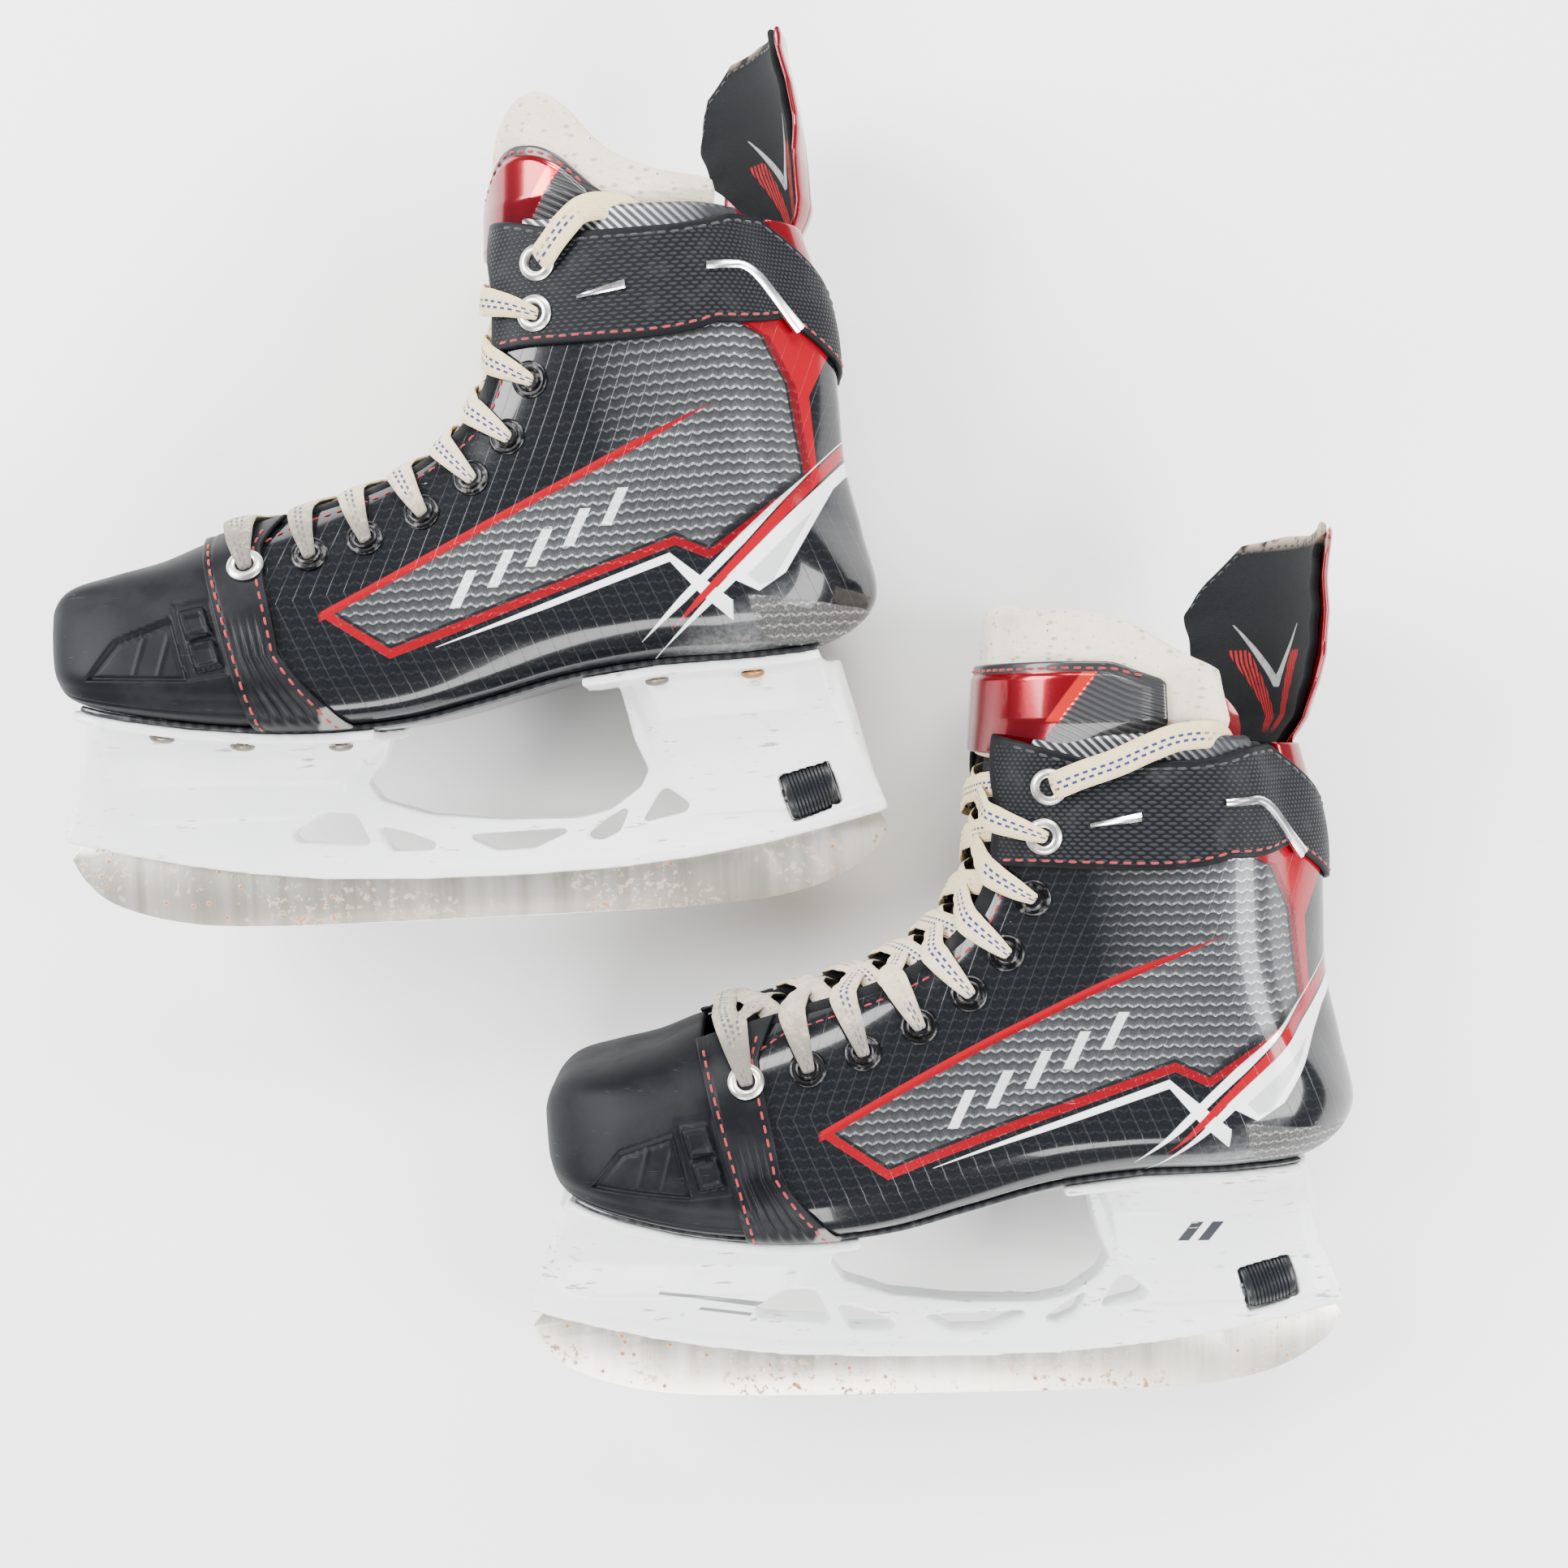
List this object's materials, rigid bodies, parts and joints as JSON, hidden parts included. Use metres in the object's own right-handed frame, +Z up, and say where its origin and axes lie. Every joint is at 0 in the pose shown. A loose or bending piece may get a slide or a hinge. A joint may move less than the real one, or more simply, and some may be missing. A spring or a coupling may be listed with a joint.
{
  "type": "ice skates",
  "caption": "Pair of ice hockey skates lying on their sides: stiff boots with felt tongues, laces, tendon guards and blade holders with removable steel runners.",
  "frame": {"origin": "on the table, under the middle of the pair's bounding box", "axes": "+Z up, away from the table; +Y towards the cuffs, along the skates' height; -X towards the toes"},
  "size_m": [0.4446, 0.4714, 0.0996],
  "materials": {
    "shell": "gloss",
    "black_plastic": "satin",
    "strap": "satin",
    "holder": "satin",
    "steel": "satin",
    "felt": "matte",
    "red": "gloss",
    "fabric": "matte",
    "liner": "matte",
    "lace": "matte",
    "eyelet": "satin"
  },
  "bodies": {
    "left_boot": {"left_quarter_shell": "shell", "left_toe_cap": "black_plastic", "left_toe_strap_lateral": "strap", "left_toe_strap_medial": "strap", "left_outsole": "black_plastic", "left_cuff_band": "strap", "left_eyelets_lateral": "eyelet", "left_eyelets_medial": "eyelet", "left_liner": "liner", "left_footbed": "fabric", "left_tongue_lower": "felt", "left_lace": "lace", "left_holder": "holder", "left_rivet_front_lateral": "eyelet", "left_rivet_front_medial": "eyelet", "left_rivet_middle_lateral": "eyelet", "left_rivet_middle_medial": "eyelet", "left_rivet_back_lateral": "eyelet", "left_rivet_back_medial": "eyelet", "left_rivet_heel_front_lateral": "eyelet", "left_rivet_heel_front_medial": "eyelet", "left_rivet_heel_back_lateral": "eyelet", "left_rivet_heel_back_medial": "eyelet"},
    "left_tongue": {"left_tongue_upper": "felt", "left_tongue_shield": "red"},
    "left_guard": {"left_tendon_guard": "red", "left_tendon_pad": "fabric"},
    "left_runner_body": {"left_runner": "steel"},
    "left_wheel_body": {"left_lock_wheel": "black_plastic"},
    "left_screw_body": {"left_lock_screw": "steel"},
    "right_boot": {"right_quarter_shell": "shell", "right_toe_cap": "black_plastic", "right_toe_strap_lateral": "strap", "right_toe_strap_medial": "strap", "right_outsole": "black_plastic", "right_cuff_band": "strap", "right_eyelets_lateral": "eyelet", "right_eyelets_medial": "eyelet", "right_liner": "liner", "right_footbed": "fabric", "right_tongue_lower": "felt", "right_lace": "lace", "right_holder": "holder", "right_rivet_front_lateral": "eyelet", "right_rivet_front_medial": "eyelet", "right_rivet_middle_lateral": "eyelet", "right_rivet_middle_medial": "eyelet", "right_rivet_back_lateral": "eyelet", "right_rivet_back_medial": "eyelet", "right_rivet_heel_front_lateral": "eyelet", "right_rivet_heel_front_medial": "eyelet", "right_rivet_heel_back_lateral": "eyelet", "right_rivet_heel_back_medial": "eyelet"},
    "right_tongue": {"right_tongue_upper": "felt", "right_tongue_shield": "red"},
    "right_guard": {"right_tendon_guard": "red", "right_tendon_pad": "fabric"},
    "right_runner_body": {"right_runner": "steel"},
    "right_wheel_body": {"right_lock_wheel": "black_plastic"},
    "right_screw_body": {"right_lock_screw": "steel"}
  },
  "joints": [
    {"name": "left_tongue_flex", "type": "hinge", "parent": "left_boot", "child": "left_tongue", "pos_m": [0.09304, 0.00115, 0.05361], "axis": [0.0406, -0.0606, 0.9973], "range_deg": [0, 30], "stiffness_Nm_per_rad": 0.6},
    {"name": "left_tendon_guard_flex", "type": "hinge", "parent": "left_boot", "child": "left_guard", "pos_m": [0.19898, -0.00174, 0.04913], "axis": [-0.0406, 0.0606, -0.9973], "range_deg": [0, 30], "stiffness_Nm_per_rad": 1.5},
    {"name": "left_runner_slide", "type": "slide", "parent": "left_boot", "child": "left_runner_body", "axis": [0.008, -0.9981, -0.061], "range_m": [0, 0.026]},
    {"name": "left_lock_wheel_turn", "type": "hinge", "parent": "left_boot", "child": "left_wheel_body", "pos_m": [0.19423, -0.19354, 0.03766], "axis": [-0.9531, -0.3018, 0.0204], "range_deg": [0, 1320]},
    {"name": "left_lock_screw_slide", "type": "slide", "parent": "left_boot", "child": "left_screw_body", "axis": [-0.9531, -0.3018, 0.0204], "range_m": [0, 0.00245]},
    {"name": "right_tongue_flex", "type": "hinge", "parent": "right_boot", "child": "right_tongue", "pos_m": [-0.07339, 0.16907, 0.05286], "axis": [0.0608, -0.0414, 0.9973], "range_deg": [0, 30], "stiffness_Nm_per_rad": 0.6},
    {"name": "right_tendon_guard_flex", "type": "hinge", "parent": "right_boot", "child": "right_guard", "pos_m": [0.03249, 0.16978, 0.04643], "axis": [-0.0608, 0.0414, -0.9973], "range_deg": [0, 30], "stiffness_Nm_per_rad": 1.5},
    {"name": "right_runner_slide", "type": "slide", "parent": "right_boot", "child": "right_runner_body", "axis": [0.0418, -0.9982, -0.044], "range_m": [0, 0.026]},
    {"name": "right_lock_wheel_turn", "type": "hinge", "parent": "right_boot", "child": "right_wheel_body", "pos_m": [0.03424, -0.02224, 0.03835], "axis": [-0.9415, -0.3343, 0.0436], "range_deg": [0, 1320]},
    {"name": "right_lock_screw_slide", "type": "slide", "parent": "right_boot", "child": "right_screw_body", "axis": [-0.9415, -0.3343, 0.0436], "range_m": [0, 0.00245]},
    {"name": "right_skate_lift", "type": "slide", "parent": "left_boot", "child": "right_boot", "axis": [0, 0, 1], "range_m": [0, 0.3]}
  ],
  "couplings": [
    {"joint": "left_lock_wheel_turn", "follows": "left_lock_screw_slide", "rad_per_m": 8976},
    {"joint": "right_lock_wheel_turn", "follows": "right_lock_screw_slide", "rad_per_m": 8976}
  ]
}
